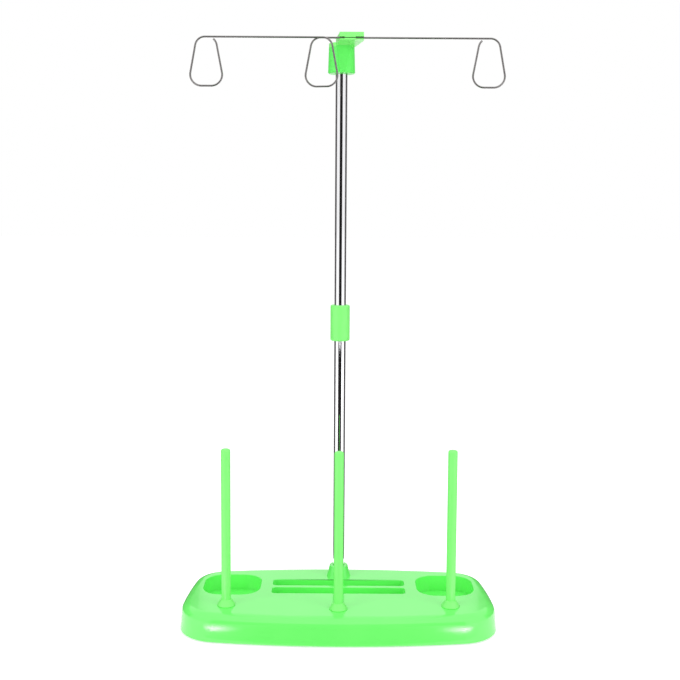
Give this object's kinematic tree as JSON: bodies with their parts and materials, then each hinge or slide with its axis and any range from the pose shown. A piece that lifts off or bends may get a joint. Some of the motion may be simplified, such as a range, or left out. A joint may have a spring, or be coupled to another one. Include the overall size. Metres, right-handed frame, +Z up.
{
  "type": "thread rack",
  "caption": "Upright thread stand: oval-cornered plastic base with trays and bobbin slots, upright spool pins, a jointed chrome post and a looped wire that guides threads overhead.",
  "frame": {"origin": "bottom centre of the bounding box, on the table under the stand", "axes": "+X to the viewer's right, +Y to the back, +Z up"},
  "size_m": [0.2512, 0.1126, 0.4659],
  "materials": {
    "green_plastic": "glossy light green injection-moulded plastic",
    "pin_plastic": "glossy light green injection-moulded plastic",
    "chrome_tube": "bright chrome-plated steel tube",
    "wire_steel": "drawn stainless steel wire",
    "foot_rubber": "matt black rubber"
  },
  "bodies": {
    "stand_base": {"base": "green_plastic", "foot_front_left": "foot_rubber", "foot_front_right": "foot_rubber", "foot_rear_left": "foot_rubber", "foot_rear_right": "foot_rubber", "spool_pin_left": "pin_plastic", "spool_pin_middle": "pin_plastic", "spool_pin_right": "pin_plastic"},
    "lower_post": {"post_lower": "chrome_tube", "post_sleeve": "green_plastic"},
    "upper_post": {"post_upper": "chrome_tube"},
    "bracket": {"top_bracket": "green_plastic"},
    "wire": {"guide_wire": "wire_steel"}
  },
  "joints": [
    {"name": "lower_post_lift", "type": "slide", "parent": "stand_base", "child": "lower_post", "axis": [0, 0, 1], "range_m": [0, 0.019]},
    {"name": "upper_post_lift", "type": "slide", "parent": "lower_post", "child": "upper_post", "axis": [0, 0, 1], "range_m": [0, 0.013]},
    {"name": "bracket_swivel", "type": "hinge", "parent": "upper_post", "child": "bracket", "pos_m": [-0.0006, 0.0353, 0.459], "axis": [0, 0, 1], "continuous": true},
    {"name": "wire_tilt", "type": "hinge", "parent": "bracket", "child": "wire", "pos_m": [0, -0.0047, 0.4617], "axis": [1, 0, 0], "range_deg": [-251, 61]}
  ]
}
